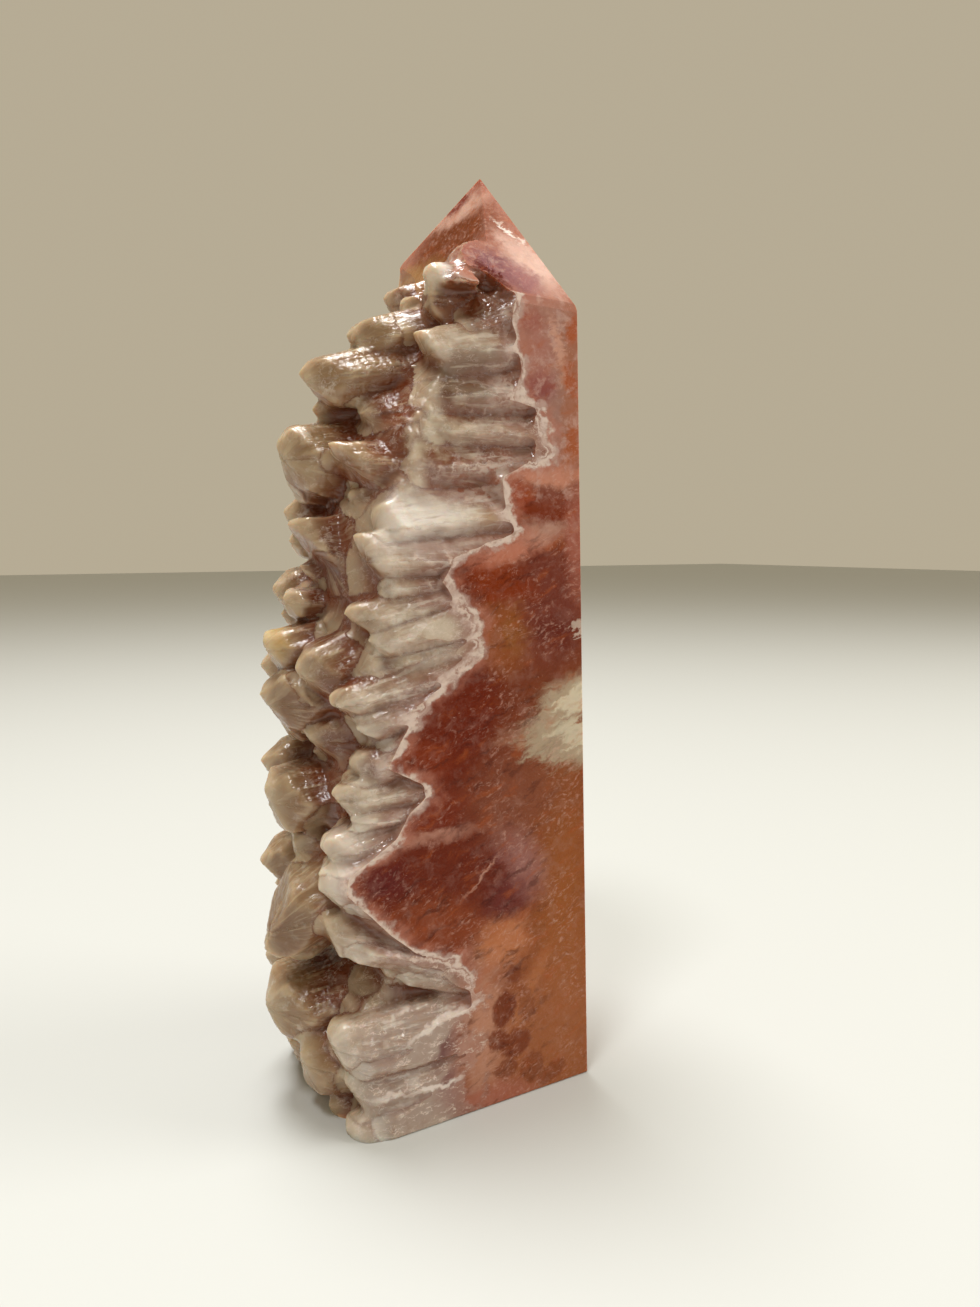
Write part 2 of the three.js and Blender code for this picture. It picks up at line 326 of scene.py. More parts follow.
def slab(outline, start, stages):
    """An outline of (x, z) points at y = start, carried back through (step in y, shift in x) stages."""
    bm = bmesh.new()
    first = bm.faces.new([bm.verts.new((x, start, z)) for x, z in outline])
    face = first
    for step, shift in stages:
        grown = bmesh.ops.extrude_face_region(bm, geom=[face])["geom"]
        if face is not first:
            bmesh.ops.delete(bm, geom=[face], context="FACES_ONLY")
        ring = [g for g in grown if isinstance(g, bmesh.types.BMVert)]
        face = next(g for g in grown if isinstance(g, bmesh.types.BMFace))
        bmesh.ops.translate(bm, verts=ring, vec=(shift, step, 0))
    bmesh.ops.recalc_face_normals(bm, faces=bm.faces)
    return bm


def fallen_away(spare, share):
    """Stages of a slab: the spare, then as the druse falls away, by a share of its way to the left."""
    stages = [(spare, 0)]
    for (left, deep), (next_left, next_deep) in zip(FALL_AWAY, FALL_AWAY[1:]):
        stages.append((next_deep - deep, (left - next_left) * share))
    return stages


def front_slab(outline, stages):
    """A slab that starts before the sawn front and leans in with it."""
    bm = slab(outline, -BASE_DEPTH / 2 - stages[0][0], stages)
    for vert in bm.verts:
        vert.co.y += LEAN * vert.co.z
    return bm


def edge_outline(beyond):
    """The druse edge, closed round at some x beyond it, to the left or to the right."""
    outline = [(x - FALL_AWAY[0][0], z) for x, z in DRUSE_EDGE]
    return outline + [(beyond, DRUSE_EDGE[-1][1]), (beyond, DRUSE_EDGE[0][1])]


def front_recess():
    """What the druse leaves out of the block in front, deeper the further it is from the edge."""
    return as_object("recess", front_slab(edge_outline(CLEAR_LEFT_X), fallen_away(RECESS_SPARE, 1)))


def front_plate():
    """The sawn front itself, which reaches left under the druse as it gets deeper."""
    stages = fallen_away(PLATE_SPARE, PLATE_SHARE) + [(PLATE_DEPTH, PLATE_DEPTH / 2)]
    return front_slab(edge_outline(BASE_WIDTH / 4), stages)


def ellipsoid(row):
    """A lobe or the pocket in the point's front left corner."""
    bm = bmesh.new()
    place = (Matrix.Translation(row["at"]) @ Matrix.Rotation(math.radians(-row["tilt"]), 4, "Y")
             @ Matrix.Diagonal(Vector(row["size"])).to_4x4())
    bmesh.ops.create_icosphere(bm, subdivisions=3, radius=1, matrix=place)
    return as_object("ellipsoid", bm)


def bed():
    """The bed that the crystals have grown together into, crowned in its middle."""
    slices = 8
    inside = BASE_WIDTH / 4
    outline = BED_OUTLINE + [(inside, BED_OUTLINE[-1][1]), (inside, BED_OUTLINE[0][1])]
    step = (BASE_DEPTH / 2 + 2 - BED_START) / slices
    bm = slab(outline, BED_START, [(step, 0)] * slices)
    for vert in bm.verts:
        if vert.co.x < inside:
            vert.co.x += BED_CROWN * (2 * vert.co.y / BASE_DEPTH) ** 2
    return bm


# ---- crystals

class Tooth:
    """One crystal: a tapering prism with its end cut to a point by a few flat faces."""

    def __init__(self, tip, run, width, height, blunt, droop, yaw, lift):
        self.run, self.width, self.height, self.blunt, self.lift = run, width, height, blunt, lift
        turn = Matrix.Rotation(math.radians(yaw), 4, "Z") @ Matrix.Rotation(math.radians(-droop), 4, "Y")
        self.place = Matrix.Translation(tip) @ turn
        self.at_tip = 0.45 + 0.5 * blunt
        self.at_root = 1 + (1 - self.at_tip) * TAIL / run
        self.corners = [rng.uniform(0.88, 1.1) for _ in range(SIDES)]

    def make(self):
        """The crystal as a bmesh, in its place."""
        shape = bmesh.new()
        length = self.run + TAIL
        lie = Matrix.Translation((length / 2, 0, 0)) @ Matrix.Rotation(math.pi / 2, 4, "Y")
        bmesh.ops.create_cone(shape, cap_ends=True, segments=SIDES, radius1=self.at_tip,
                              radius2=self.at_root, depth=length, matrix=lie)
        for vert in shape.verts:
            size = self.at_tip if vert.co.x < length / 2 else self.at_root
            corner = round(math.atan2(vert.co.z, vert.co.y) / (2 * math.pi) * SIDES)
            vert.co.y *= self.corners[corner] * self.width / 2
            vert.co.z *= self.corners[corner] * self.height / 2
            vert.co.z -= self.lift * size * self.height / 2
        bmesh.ops.translate(shape, verts=shape.verts, vec=(-SPARE_TIP, 0, 0))
        slant = 62 - 50 * self.blunt
        for around, more in ((-90, 0), (90, 14), (180, 12), (0, 12)):
            if more and abs(around) == 90:
                more += 20 * max(0, self.lift)
            self.cut_end(shape, slant + more + rng.uniform(-4, 4), around + rng.uniform(-14, 14), 0)
        for _ in range(2):
            self.cut_end(shape, rng.uniform(45, 70), rng.uniform(0, 360), rng.uniform(0.03, 0.07))
        bmesh.ops.transform(shape, matrix=self.place, verts=shape.verts)
        bmesh.ops.recalc_face_normals(shape, faces=shape.faces)
        return shape

    def cut_end(self, shape, slant, around, depth):
        """Cuts the end along one flat face: through the tip, or at some depth over the height."""
        slant, around = math.radians(slant), math.radians(around)
        sideways = math.sin(slant)
        normal = Vector((-math.cos(slant), sideways * math.cos(around), sideways * math.sin(around)))
        reach = max(normal.dot(vert.co) for vert in shape.verts) - depth * self.height if depth else WORN
        saw(shape, normal * reach, normal)

    def measure(self, points):
        """For each point: how far along from the tip, how far out over its radius, and the angle."""
        turn = np.array(self.place.to_3x3())
        local = (points - np.array(self.place.translation)) @ turn
        size = self.at_tip + (1 - self.at_tip) * np.clip(local[:, 0] / self.run, 0, 1.5)
        y = local[:, 1] / (self.width / 2 * size)
        z = (local[:, 2] / (self.height / 2) + self.lift * size) / size
        ahead = np.maximum(0, -local[:, 0]) / self.height
        return local[:, 0], np.hypot(y, z) + 3 * ahead, np.arctan2(z, y)


def side_teeth(row):
    """Lesser crystals grown parallel to a large one, behind its tip and to its sides."""
    x, y, z, run, width, height, blunt, droop, yaw, lift = row
    if z > BARE_FROM:
        return []
    made = []
    for below, towards in BOTH_SIDES if y < PAIRED_Y and z < PAIRED_BELOW else BACK_SIDE:
        part = rng.uniform(0.55, 0.78)
        tip = (x + rng.uniform(0.14, 0.34) * run, y + towards * 0.22 * width,
               z - (below + rng.uniform(-0.08, 0.08) + 0.2 * lift) * height)
        made.append(Tooth(tip, run * 0.85, width * part, height * part * rng.uniform(0.8, 1),
                          blunt * rng.uniform(0.8, 1.1), droop + rng.uniform(-3, 3),
                          yaw + rng.uniform(-4, 4), lift * 0.8))
    return made


def small_teeth():
    """The smaller crystals that cover the bed between the large ones."""
    made = []
    zs = [z for x, z in BED_OUTLINE]
    xs = [x for x, z in BED_OUTLINE]
    for y in np.arange(*SMALL_ROWS_Y):
        for z in np.arange(*SMALL_ROWS_Z):
            at_y, at_z = y + rng.uniform(-2.5, 2.5), z + rng.uniform(-3, 3)
            x = np.interp(at_z, zs, xs) + BED_CROWN * (at_y / (BASE_DEPTH / 2)) ** 2 - rng.uniform(0, 3)
            size = rng.uniform(10, 13.5)
            made.append(Tooth((x, at_y, at_z), SMALL_RUN, size, size * rng.uniform(0.7, 1),
                              rng.uniform(0.4, 0.65), rng.uniform(4, 14), rng.uniform(-8, 8),
                              rng.uniform(0.3, 0.9)))
    return made


def stretched_in_front(row):
    """A listed crystal, taller if the sawn front cuts through it below the point."""
    x, y, z, run, width, height, *rest = row
    if y <= FRONT_ROW_Y and z < POINT_FOOT:
        height *= FRONT_STRETCH
    return (x, y, z, run, width, height, *rest)


def all_teeth():
    teeth = []
    for row in map(stretched_in_front, CRYSTALS):
        teeth.append(Tooth(row[:3], *row[3:]))
        teeth.extend(side_teeth(row))
    return teeth + small_teeth()


def rough_stone(teeth):
    """Block, bed and crystals as one closed skin, with some to spare on every sawn side."""
    stone = block()
    for row in LOBES:
        combine(stone, ellipsoid(row), "UNION")
    combine(stone, front_recess(), "DIFFERENCE")
    combine(stone, ellipsoid(POCKET), "DIFFERENCE")
    bm = bmesh.new()
    bm.from_mesh(stone.data)
    bpy.data.objects.remove(stone)
    add_to(bm, bed())
    add_to(bm, front_plate())
    for tooth in teeth:
        add_to(bm, tooth.make())
    skin = as_object("calcite_stone", bm)
    remesh = skin.modifiers.new("grow_together", "REMESH")
    remesh.mode = "VOXEL"
    remesh.voxel_size = VOXEL
    settle(skin)
    return skin


def neighbours(mesh):
    """The two ends of every edge, and how many edges meet at every point."""
    ends = np.empty(len(mesh.edges) * 2, dtype=np.int32)
    mesh.edges.foreach_get("vertices", ends)
    a, b = ends[0::2], ends[1::2]
    count = len(mesh.vertices)
    return a, b, np.bincount(a, minlength=count) + np.bincount(b, minlength=count)


def evened(points, around, steps, share=0.8):
    """The points, each moved time after time towards the mean of those next to it."""
    a, b, near = around
    mean = points.copy()
    for _ in range(steps):
        for axis in range(3):
            line = mean[:, axis]
            total = np.bincount(a, line[b], len(near)) + np.bincount(b, line[a], len(near))
            mean[:, axis] += share * (total / near - line)
    return mean


def read_vectors(items, name):
    """A vector of each item of a mesh, as rows."""
    values = np.empty(len(items) * 3)
    items.foreach_get(name, values)
    return values.reshape(-1, 3)


def nearest_crystals(points, teeth):
    """For each point: how far out it is on its own crystal and on the next, and its place there."""
    count = len(points)
    best = np.full(count, FAR_OUT)
    second = np.full(count, FAR_OUT)
    growth = np.zeros((count, 3))
    for number, tooth in enumerate(teeth):
        along, out, angle = tooth.measure(points)
        closer = out < best
        second = np.where(closer, best, np.minimum(second, out))
        around = angle * (tooth.width + tooth.height) / 4
        growth[closer] = np.stack([along, around, np.full(count, number * 7.0)], axis=1)[closer]
        best = np.where(closer, out, best)
    return best, second, growth


def share_of_druse(points):
    """For each point 1 in the druse and 0 where the stone will be sawn, softly between."""
    edge_x = np.interp(points[:, 2], [z for x, z in DRUSE_EDGE], [x for x, z in DRUSE_EDGE])
    facet_at, facet_normal = (np.array(v) for v in LEFT_FACET)
    off_facet = np.clip(((points - facet_at) @ facet_normal - 0.3) / 0.5, 0, 1)
    high = points[:, 2] > DRUSE_EDGE[-1][1]
    return np.where(high, off_facet, np.clip((edge_x - 0.5 - points[:, 0]) / 2, 0, 1))


def growth_lines(points, growth, on_tooth):
    """How far the skin stands out at each point: lines and lumps on crystals, rough between them."""
    lines = np.empty(len(points))
    for i, (along, around, number) in enumerate(growth):
        fine = noise.noise(Vector((along * 0.12, around * 1.1, number)))
        lump = noise.noise(Vector((along * 0.3, around * 0.3, number + 3)))
        step = noise.noise(Vector((along * 0.8, around * 0.25, number + 5)))
        rough = noise.noise(Vector(points[i]) * 0.8)
        ragged = noise.noise(Vector(points[i]) * 1.7)
        on_crystal = 0.12 * fine + 0.25 * lump + 0.08 * step
        lines[i] = on_tooth[i] * on_crystal + (1.2 - on_tooth[i]) * (0.3 * rough + 0.12 * ragged)
    return lines


def grow(skin, teeth):
    """Works growth lines into the druse, and writes down each point's place on its crystal."""
    mesh = skin.data
    points = read_vectors(mesh.vertices, "co")
    normals = read_vectors(mesh.vertex_normals, "vector")
    best, second, growth = nearest_crystals(points, teeth)
    on_tooth = np.clip((1.5 - best) / 0.3, 0, 1)
    in_druse = share_of_druse(points)
    around_points = neighbours(mesh)
    for bottom, top, steps in ROUNDED:
        part = in_druse * np.clip((points[:, 2] - bottom) / ROUNDED_FADE, 0, 1)
        part *= np.clip((top - points[:, 2]) / ROUNDED_FADE, 0, 1)
        points += (evened(points, around_points, steps) - points) * part[:, None]
    points += normals * (growth_lines(points, growth, on_tooth) * in_druse)[:, None]
    close = evened(points, around_points, MEAN_STEPS[0])
    wide = evened(close, around_points, MEAN_STEPS[1])
    # relief and recess: how far each point stands out of the skin evened over a short and a long way;
    # crease: how far it is from where two crystals meet. The material paints shade into hollows and creases
    # from these, and a highlight on what stands out.
    relief = ((points - close) * normals).sum(axis=1)
    recess = ((points - wide) * normals).sum(axis=1)
    recess *= np.interp(points[:, 1], (-18, -13), (GROOVE_SHADE_KEPT, 1))
    crease = np.clip((second - best) / CREASE_WIDTH, 0, 1) * on_tooth
    mesh.vertices.foreach_set("co", points.reshape(-1))
    mesh.attributes.new("growth", "FLOAT_VECTOR", "POINT").data.foreach_set("vector", growth.reshape(-1))
    for name, values in (("relief", relief), ("recess", recess), ("crease", crease)):
        mesh.attributes.new(name, "FLOAT", "POINT").data.foreach_set("value", values)
    mesh.update()


def drop_crumbs(bm):
    """Deletes what isn't joined to the stone: every part of the mesh but the largest."""
    waiting = set(bm.verts)
    parts = []
    while waiting:
        rim = {waiting.pop()}
        part = set(rim)
        while rim:
            rim = {edge.other_vert(vert) for vert in rim for edge in vert.link_edges} & waiting
            waiting -= rim
            part |= rim
        parts.append(part)
    stone = max(parts, key=len)
    crumbs = [vert for part in parts if part is not stone for vert in part]
    bmesh.ops.delete(bm, geom=crumbs, context="VERTS")


def saw_to_shape(skin):
    """Saws and polishes the rough stone to its planes, with eased edges."""
    bm = bmesh.new()
    bm.from_mesh(skin.data)
    for face in bm.faces:
        face.smooth = True
    for point, normal in PLANES.values():
        saw(bm, point, normal, polished=1)
    for a, b, ease in EASED_EDGES:
        (point_a, normal_a), (point_b, normal_b) = PLANES[a], PLANES[b]
        between = (normal_a + normal_b).normalized()
        rows = Matrix((normal_a, normal_b, normal_a.cross(normal_b)))
        on_edge = rows.inverted() @ Vector((normal_a.dot(point_a), normal_b.dot(point_b), 0))
        saw(bm, on_edge - between * ease, between, polished=1)
    drop_crumbs(bm)
    bmesh.ops.recalc_face_normals(bm, faces=bm.faces)
    bm.to_mesh(skin.data)
    bm.free()


def lighten(skin):
    """Leaves out points where the skin is flat enough to do without them."""
    thin = skin.modifiers.new("lighten", "DECIMATE")
    thin.ratio = min(1.0, TRIANGLES / sum(len(face.vertices) - 2 for face in skin.data.polygons))
    settle(skin)


def polish_left_facet(skin):
    """The point's left facet, where it shows between the crystals, is flat and polished too."""
    point, normal = LEFT_FACET
    foot = SHOULDER_HEIGHT["front_left"]
    for vert in skin.data.vertices:
        over = normal.dot(vert.co - point)
        if abs(over) < FLATTENED and vert.co.z > foot - 3:
            vert.co -= over * normal
    for face in skin.data.polygons:
        level = abs(normal.dot(face.center - point)) < LEVEL and face.normal.dot(normal) > LEVEL_COSINE
        if level and face.center.z > foot - 4:
            face.material_index = 1


def into_frame(piece):
    """From the drawing's millimetres into the frame: the right and back faces meet the CAD box."""
    piece.data.transform(Matrix.Translation(FRAME_SHIFT) @ Matrix.Scale(MM, 4))


def calcite_stone():
    teeth = all_teeth()
    skin = rough_stone(teeth)
    grow(skin, teeth)
    lighten(skin)
    saw_to_shape(skin)
    polish_left_facet(skin)
    into_frame(skin)
    return skin


# ---- shader building

def srgb(red, green, blue):
    """A colour given as 0 to 255 screen values, as linear light."""
    channels = []
    for value in (red, green, blue):
        part = value / 255
        channels.append(part / 12.92 if part <= 0.04045 else ((part + 0.055) / 1.055) ** 2.4)
    return (*channels, 1.0)


def plug(tree, socket, value):
    """Links a socket to another, or sets it to a plain value."""
    if isinstance(value, bpy.types.NodeSocket):
        tree.links.new(value, socket)
    else:
        socket.default_value = value


def add_node(tree, kind, inputs, **settings):
    """A new node with these settings, and with these values or links in its inputs."""
    node = tree.nodes.new("ShaderNode" + kind)
    for name, value in settings.items():
        setattr(node, name, value)
    for socket, value in inputs.items():
        plug(tree, node.inputs[socket], value)
    return node


def maths(tree, operation, *values):
    return add_node(tree, "Math", dict(enumerate(values)), operation=operation).outputs[0]


def times(tree, product, *factors):
    """Values multiplied together."""
    for factor in factors:
        product = maths(tree, "MULTIPLY", product, factor)
    return product


def swing(tree, value):
    """A value from 0 to 1 as one that swings about 0."""
    return maths(tree, "SUBTRACT", value, 0.5)


def vector_maths(tree, operation, *values):
    node = add_node(tree, "VectorMath", dict(enumerate(values)), operation=operation)
    return node.outputs["Value" if operation in ("LENGTH", "DOT_PRODUCT") else "Vector"]


def fade(tree, value, start, end, low=0.0, high=1.0):
    """A soft step: low where the value is at start, high where it is at end."""
    ends = {"Value": value, "From Min": start, "From Max": end, "To Min": low, "To Max": high}
    return add_node(tree, "MapRange", ends, interpolation_type="SMOOTHSTEP").outputs["Result"]


def blend(tree, factor, under, over):
    """Colour over colour by a mask."""
    return add_node(tree, "Mix", {"Factor": factor, 6: under, 7: over}, data_type="RGBA").outputs[2]


def tinted(tree, under, over, value, start, end, strength=1.0):
    """Colour over colour, in full strength where the value is at end and not at all at start."""
    return blend(tree, fade(tree, value, start, end, 0.0, strength), under, over)


def cloud(tree, spot, scale, detail=3.0, roughness=0.55, colour=False):
    """Noise over a vector; scale is in cells for each unit of it."""
    grain = {"Vector": spot, "Scale": scale, "Detail": detail, "Roughness": roughness}
    return add_node(tree, "TexNoise", grain).outputs["Color" if colour else "Fac"]


def warped(tree, spot, scale, reach, detail=2.0):
    """The spot pushed about by noise, so that what is drawn there has a natural outline."""
    push = vector_maths(tree, "SUBTRACT", cloud(tree, spot, scale, detail, colour=True), (0.5, 0.5, 0.5))
    return vector_maths(tree, "MULTIPLY_ADD", push, (reach, reach, reach), spot)


def curve(tree, value, points, span, reach):
    """A value worked out from another through (in, out) points; span and reach are their ranges."""
    part = maths(tree, "DIVIDE", maths(tree, "SUBTRACT", value, span[0]), span[1] - span[0])
    node = add_node(tree, "FloatCurve", {"Value": part})
    line = node.mapping.curves[0]
    scaled = []
    for x, y in points:
        scaled.append(((x - span[0]) / (span[1] - span[0]), (y - reach[0]) / (reach[1] - reach[0])))
    line.points[0].location = scaled[0]
    line.points[1].location = scaled[-1]
    for point in scaled[1:-1]:
        line.points.new(*point)
    for point in line.points:
        point.handle_type = "VECTOR"
    node.mapping.update()
    return maths(tree, "MULTIPLY_ADD", node.outputs["Value"], reach[1] - reach[0], reach[0])


def split(tree, vector):
    """A vector's x, y and z."""
    return add_node(tree, "SeparateXYZ", {"Vector": vector}).outputs


def mixed(tree, factor, under, over):
    """A value between two others."""
    return add_node(tree, "Mix", {"Factor": factor, 2: under, 3: over}).outputs[0]


def stretched(tree, spot, scale, turn=0.0):
    """The spot turned in the x-z plane and then scaled."""
    lie = {"Vector": spot, "Rotation": (0, -math.radians(turn), 0), "Scale": [1 / part for part in scale]}
    return add_node(tree, "Mapping", lie, vector_type="TEXTURE").outputs["Vector"]


def cells(tree, spot):
    """Voronoi cells of about one unit: the distance to the nearest middle, and a colour each."""
    node = add_node(tree, "TexVoronoi", {"Vector": spot, "Scale": 1.0})
    return node.outputs["Distance"], node.outputs["Color"]


def streaked(tree, spot, turn, reach):
    """The spot pushed to and fro along one direction in thin streaks that lie that way."""
    streak = cloud(tree, stretched(tree, spot, (0.12, 0.4, 1.3), turn), 1.0, 3.0, 0.6)
    push = times(tree, swing(tree, streak), 4 * reach)
    way = (math.cos(math.radians(turn)), 0, math.sin(math.radians(turn)))
    return vector_maths(tree, "MULTIPLY_ADD", push, way, spot)


def flecks(tree, spot):
    """A mask of fine short scratches and glints, lying three ways."""
    mask = None
    bent = warped(tree, spot, 0.8, 0.7)
    for turn in (35, 95, 160):
        distance, colour = cells(tree, stretched(tree, bent, (0.7, 0.9, 3.4), turn))
        chosen = fade(tree, split(tree, colour)[0], 0.8, 0.84)
        glint = times(tree, fade(tree, distance, 0.2, 0.08), chosen)
        mask = glint if mask is None else maths(tree, "MAXIMUM", mask, glint)
    gather = fade(tree, cloud(tree, spot, 0.16, 3.0), 0.48, 0.66, 0.0, 0.5)
    return times(tree, mask, gather)


def with_zones(tree, colour, spot, zones):
    """Ellipsoid zones of colour laid over a colour."""
    turned = {}
    for middle, half, turn, soft, strength, over in zones:
        if turn not in turned:
            turned[turn] = stretched(tree, spot, (1, 1, 1), turn)
        cosine, sine = math.cos(math.radians(turn)), math.sin(math.radians(turn))
        x, y, z = middle
        middle = (x * cosine + z * sine, y, z * cosine - x * sine)
        offset = [-part / reach for part, reach in zip(middle, half)]
        out_by = vector_maths(tree, "MULTIPLY_ADD", turned[turn], [1 / reach for reach in half], offset)
        out_by = vector_maths(tree, "LENGTH", out_by)
        colour = tinted(tree, colour, srgb(*over), out_by, 1 + soft, 1 - soft, strength)
    return colour


def within_facet(tree, spot):
    """How far a spot lies inside the point's left facet."""
    point, normal = LEFT_FACET
    return maths(tree, "SUBTRACT", normal.dot(point), vector_maths(tree, "DOT_PRODUCT", spot, normal))


def new_group(name, outputs):
    """A node group with these outputs, given as (name, kind), and its output node."""
    group = bpy.data.node_groups.new(name, "ShaderNodeTree")
    for socket, kind in outputs:
        group.interface.new_socket(socket, in_out="OUTPUT", socket_type="NodeSocket" + kind)
    return group, group.nodes.new("NodeGroupOutput")


# ---- the stone's colour

DEEP_RED = srgb(100, 32, 8)
BROWN_RED = srgb(110, 50, 26)
PINK_BROWN = srgb(160, 106, 86)
# white of the seam, the pale growth lines and the crack lines, also used for painted glints at the foot
WHITE_SEAM_AND_GLINT = srgb(214, 196, 184)
PALE_LILAC = srgb(178, 152, 142)
# painted shade: the warm red-brown dark of the crystals' depths, hollows and creases
PAINTED_DEPTH_SHADE = srgb(112, 54, 27)
# back crystals: their own beige-brown, darkened with painted shade
BACK_CRYSTAL_AND_SHADE = srgb(144, 114, 82)
FRONT_CRYSTAL = srgb(190, 174, 156)
# pale crystal, also used for a painted highlight on raised parts
PALE_CRYSTAL_AND_HIGHLIGHT = srgb(228, 220, 210)
WARM_PALE_AND_HIGHLIGHT = srgb(202, 184, 154)
DARK_STREAK = srgb(62, 14, 6)
BRIGHT_STREAK = srgb(158, 78, 34)
PALE_VEIL = srgb(196, 154, 138)
PALE_GLINT = srgb(206, 166, 148)
PALE_CLOUD = srgb(186, 152, 140)
PALE_BORDER = srgb(166, 108, 90)
GROWTH_LINE = srgb(146, 104, 88)
BROWN_CLOUD = srgb(140, 104, 80)
BROWN_RIB = srgb(136, 100, 76)
# painted shade on faces turned down
PAINTED_UNDERSIDE_SHADE = srgb(150, 100, 70)

# Zones of colour in the stone, from the deepest layer up. Each has a middle x, y, z, half a length
# along x, y and z, a turn in degrees, a softness, a strength and a colour.
CORE_ZONES = [
    # the honey side, and what lies over it at the foot
    ((17, -8, 24), (8.5, 34, 42), 0, 0.75, 1, (142, 80, 36)),
    ((11, -12, 6), (14, 22, 18), 0, 0.75, 0.9, (150, 90, 56)),
    ((-1, -20, 14), (4.2, 8, 15), 0, 0.75, 0.9, (178, 128, 104)),
    ((3.5, -20, 30.5), (5, 8, 5), 15, 0.45, 0.85, (178, 112, 74)),
    ((9, -20, 20), (1.4, 8, 7), -30, 0.75, 0.5, (176, 112, 72)),
    ((1.5, -20, 1.2), (9, 8, 2.6), 0, 0.6, 0.8, (160, 96, 78)),
    # the red lens
    ((-9, -19, 43), (16, 46, 8), 0, 0.3, 1, (98, 32, 10)),
    ((-9, -19, 36), (9.5, 7, 4.5), -15, 0.45, 0.9, (126, 58, 28)),
    ((-19, -20, 45.5), (4, 5, 3.2), -15, 0.6, 0.7, (88, 24, 24)),
    ((5, -20, 38), (5, 44, 3.6), -15, 0.6, 0.8, (96, 38, 34)),
    ((2.2, -20, 45.5), (3, 6, 1.2), 45, 0.45, 0.8, (92, 28, 20)),
    ((7.2, -20, 44.5), (3.4, 8, 7), 30, 0.8, 0.7, (150, 104, 98)),
    ((-0.8, -20, 42.7), (3.6, 6, 0.28), 45, 0.8, 0.7, (186, 140, 122)),
    ((-11, -20, 51.3), (9, 6, 1.1), 0, 0.8, 0.75, (172, 122, 104)),
    ((-9, -20, 55.5), (6.4, 6, 2.8), 15, 0.3, 0.95, (108, 36, 12)),
    ((6, -20, 56), (9, 44, 7), 0, 0.75, 0.7, (124, 70, 48)),
    # the broad red slant and the brown above it
    ((-6.5, -19, 69.5), (12.5, 46, 6.6), 45, 0.3, 1, (100, 30, 6)),
    ((-12, -20, 64.5), (5, 7, 3.2), -15, 0.45, 0.9, (118, 44, 16)),
    ((4, -20, 84.5), (5.6, 9, 6.8), 15, 0.38, 0.9, (134, 72, 36)),
    ((6.5, -20, 85), (2.4, 6, 3.6), 15, 0.6, 0.6, (140, 86, 34)),
    ((14, -20, 88), (6.6, 44, 9.5), 0, 0.6, 0.9, (108, 50, 38)),
    ((15, -20, 84.5), (4.2, 8, 2.6), -15, 0.6, 0.8, (92, 32, 20)),
    ((2, -19, 94.5), (9.5, 44, 3.8), -15, 0.3, 0.95, (122, 46, 14)),
    ((12, -20, 96.5), (6, 10, 3.6), -15, 0.6, 0.8, (108, 48, 34)),
    # under the shelf
    ((7, -20, 99.6), (8.5, 42, 1.9), 15, 0.6, 0.85, (184, 118, 96)),
    ((12.5, -20, 103), (4.4, 8, 2.6), 15, 0.75, 0.8, (172, 134, 118)),
    ((12.5, -19, 107), (6.4, 44, 3.6), 0, 0.3, 1, (112, 40, 10)),
    ((7.5, -20, 108.5), (2.4, 6, 2.8), 15, 0.45, 0.9, (140, 56, 24)),
    ((19.6, -18, 101), (2.6, 12, 9), 0, 0.6, 0.7, (160, 94, 78)),
    ((13.5, -20, 112.4), (7.5, 44, 1.6), 0, 0.6, 0.9, (206, 136, 108)),
    # the pink side under the point
    ((13, -14, 128), (9, 22, 16), 0, 0.6, 0.9, (146, 108, 96)),
    ((11.2, -20, 127), (3.4, 6, 2.8), 15, 0.45, 0.9, (124, 60, 58)),
    ((9.6, -20, 138), (2.6, 6, 1.8), -30, 0.6, 0.8, (140, 70, 58)),
    ((11.5, -20, 133), (3.2, 7, 5), 0, 0.75, 0.6, (164, 104, 90)),
    ((18.6, -12, 128), (2.8, 24, 15), 0, 0.45, 0.9, (150, 96, 72)),
    ((18.2, -20, 137.4), (1.2, 6, 2.8), -15, 0.45, 0.9, (156, 78, 40)),
    ((17.8, -20, 128.5), (1.3, 6, 3.2), 15, 0.45, 0.9, (154, 78, 42)),
    ((18.4, -20, 118), (1.6, 6, 3), 0, 0.45, 0.9, (152, 82, 48)),
    ((15.2, -20, 134), (0.9, 6, 5), 15, 0.75, 0.7, (200, 152, 130)),
    # the point
    ((10, -6, 153), (14, 24, 14), 0, 0.3, 1, (164, 112, 96)),
    ((6, -14, 146.6), (7, 5, 3.4), -30, 0.5, 0.95, (126, 82, 86)),
    ((13.5, -12, 148.5), (5.5, 6, 4.4), -45, 0.7, 0.9, (218, 184, 170)),
    ((9.5, -9, 152.4), (4.6, 5, 1.3), -45, 0.7, 0.8, (206, 168, 154)),
    ((10.5, -14, 145.4), (3.6, 4, 2.2), -30, 0.6, 0.8, (150, 100, 100)),
    ((3, -15.6, 145.4), (5, 3, 0.9), -45, 0.4, 0.95, (84, 18, 10)),
    ((11, -8, 155), (3.6, 4, 0.5), -45, 0.4, 0.95, (240, 228, 218)),
    ((5, 2, 154.2), (8.6, 11, 6.4), 45, 0.35, 1, (108, 46, 6)),
    ((0, 9, 147.5), (6.5, 11, 5), 0, 0.5, 0.85, (156, 116, 70)),
    ((7.4, 3, 160.6), (4, 7, 1.6), 30, 0.6, 0.8, (206, 164, 146)),
    ((8, 5, 162.4), (2.4, 4, 1.8), 30, 0.4, 0.95, (112, 34, 18)),
    ((10, -1, 166), (2.2, 3, 2.2), 0, 0.5, 0.8, (140, 66, 48)),
]
